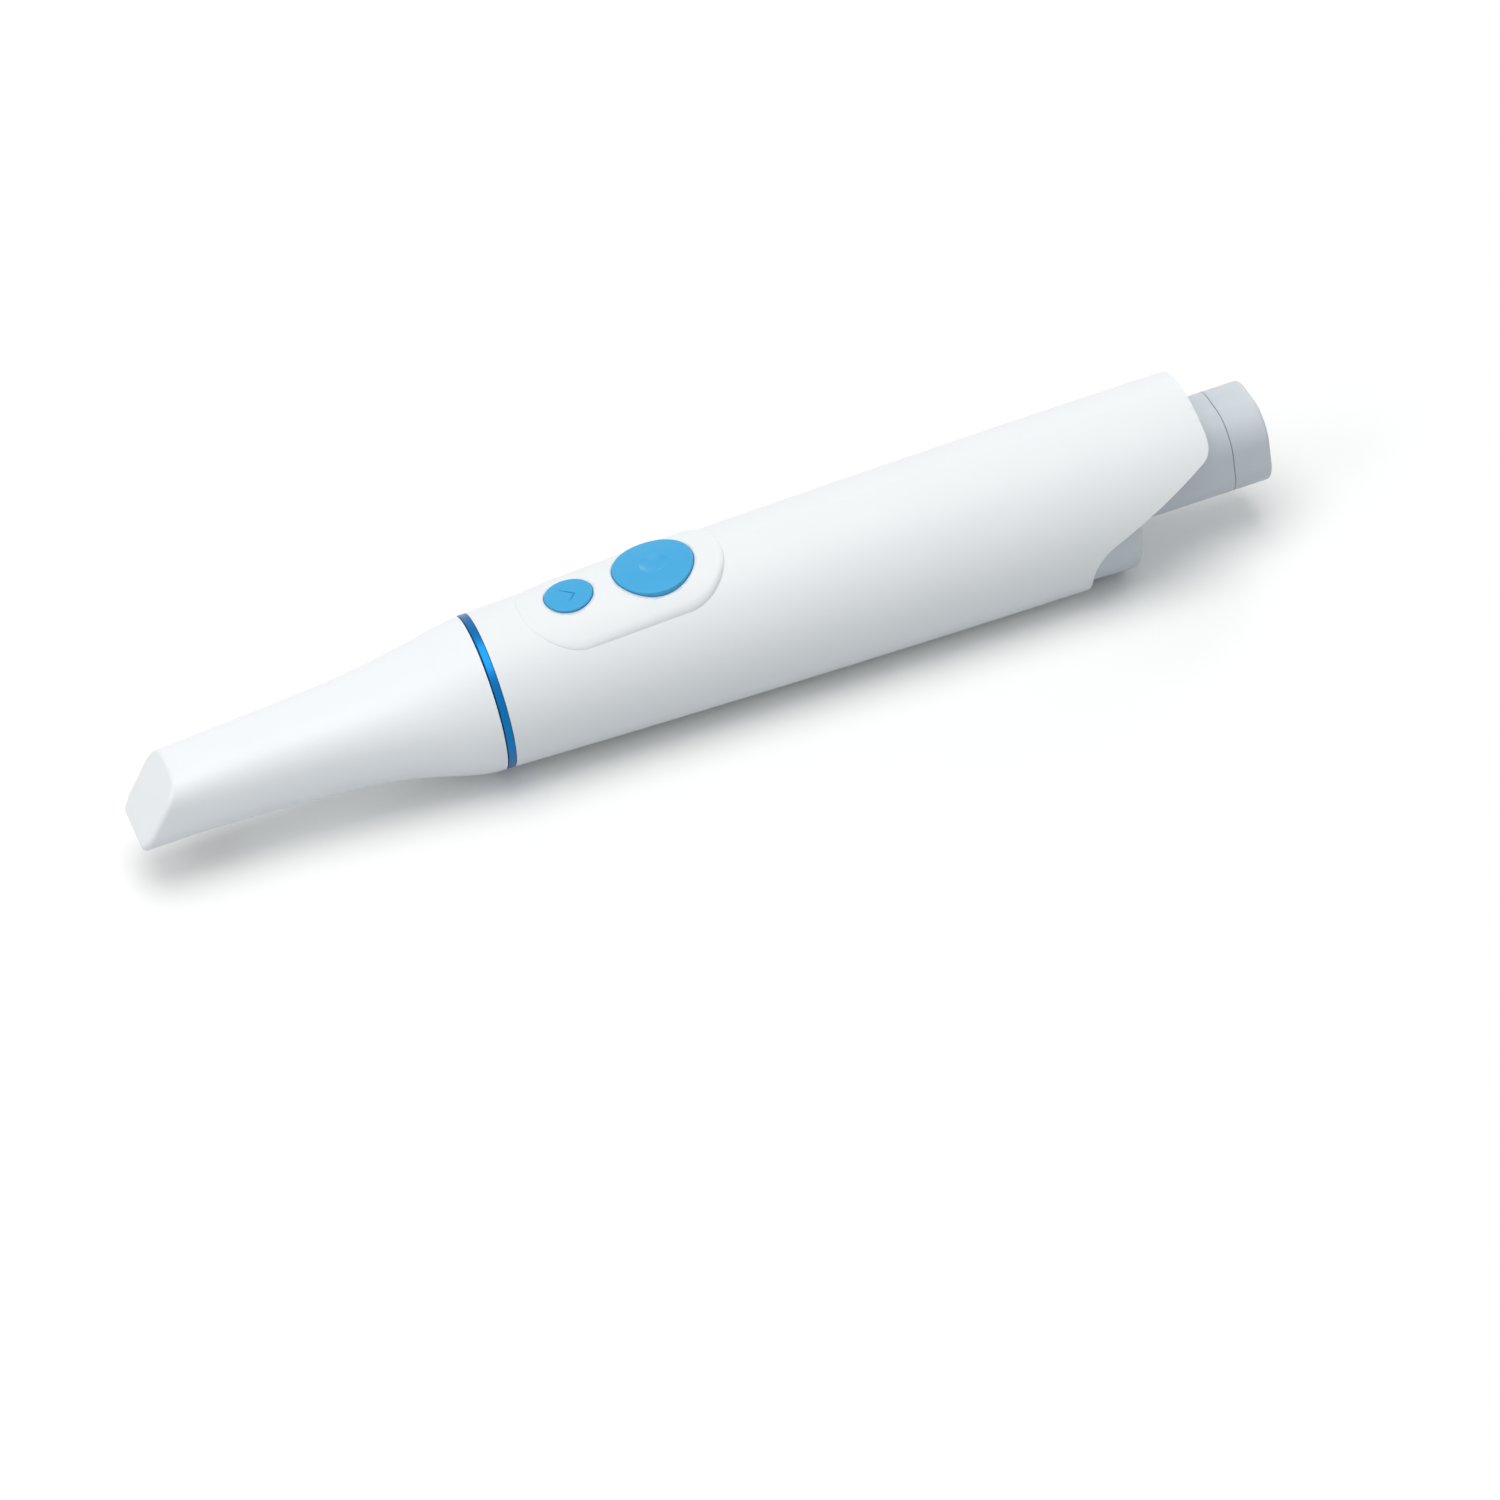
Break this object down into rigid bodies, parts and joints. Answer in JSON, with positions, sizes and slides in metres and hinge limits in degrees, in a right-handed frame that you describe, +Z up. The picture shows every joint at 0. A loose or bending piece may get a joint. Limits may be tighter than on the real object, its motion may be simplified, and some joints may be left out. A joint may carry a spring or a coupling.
{
  "type": "intraoral scanner",
  "caption": "Hand-held wireless dental scanner: tapering round body, pull-off mirror tip, key pad with two keys, slide-out battery pack.",
  "frame": {"origin": "middle of the flat under the body, on the surface that the scanner lies on", "axes": "+X towards the rear along the body (battery end), +Z up through the keys, +Y to the left of the body seen from the tip"},
  "size_m": [0.2911, 0.045, 0.0438],
  "materials": {
    "tip_white": "satin white moulded plastic",
    "body_white": "satin white moulded plastic with a soft coating",
    "key_blue": "soft matte blue silicone",
    "ring_blue": "blue anodised, turned",
    "frame_grey": "matte grey moulded plastic",
    "battery_grey": "matte light grey moulded plastic",
    "mirror_glass": "front-silvered glass",
    "clear_glass": "coated optical glass",
    "black_metal": "black anodised",
    "cast_metal": "machined",
    "board_green": "solder mask",
    "chip_black": "moulded package",
    "contact_gold": "gold plated",
    "screw_steel": "plain",
    "gasket_rubber": "black silicone",
    "cell_sleeve": null,
    "neck_black": "black glass-filled plastic",
    "tray_steel": "pressed stainless sheet"
  },
  "bodies": {
    "housing": {"main_housing": "body_white", "keypad_cover": "body_white", "nose_tube": "neck_black", "front_window": "clear_glass", "trim_ring": "ring_blue", "optics_frame": "cast_metal", "camera_barrel": "black_metal", "projector_barrel": "black_metal", "camera_front_lens": "clear_glass", "camera_rear_lens": "clear_glass", "projector_lens": "clear_glass", "condenser_lens": "clear_glass", "pattern_mask": "clear_glass", "camera_board": "board_green", "light_board": "board_green", "image_sensor": "chip_black", "light_emitter": "chip_black", "heat_sink": "cast_metal", "key_board": "board_green", "key_switches": "chip_black", "chassis_tray": "tray_steel", "main_board": "board_green", "flex_connectors": "chip_black", "processor_chip": "chip_black", "radio_module": "cast_metal", "radio_antenna": "chip_black", "rear_frame": "frame_grey", "contact_block": "chip_black", "contact_pins": "contact_gold", "optics_screws": "screw_steel", "key_board_screws": "screw_steel", "main_board_screws": "screw_steel", "frame_screws": "screw_steel"},
    "tip": {"tip_sleeve": "tip_white", "tip_mirror": "mirror_glass"},
    "battery": {"battery_case": "battery_grey", "battery_cell": "cell_sleeve", "battery_contacts": "contact_gold", "battery_gasket": "gasket_rubber", "battery_cap": "battery_grey"},
    "scan_key": {"scan_button": "key_blue", "scan_plunger": "chip_black"},
    "mode_key": {"mode_button": "key_blue", "mode_plunger": "chip_black"}
  },
  "joints": [
    {"name": "tip_pull", "type": "slide", "parent": "housing", "child": "tip", "axis": [-1, 0, 0], "range_m": [0, 0.035]},
    {"name": "battery_pull", "type": "slide", "parent": "housing", "child": "battery", "axis": [1, 0, 0], "range_m": [0, 0.075]},
    {"name": "scan_press", "type": "slide", "parent": "housing", "child": "scan_key", "axis": [0, 0, -1], "range_m": [0, 0.0005], "stiffness_N_per_m": 600},
    {"name": "mode_press", "type": "slide", "parent": "housing", "child": "mode_key", "axis": [0, 0, -1], "range_m": [0, 0.0005], "stiffness_N_per_m": 600}
  ]
}
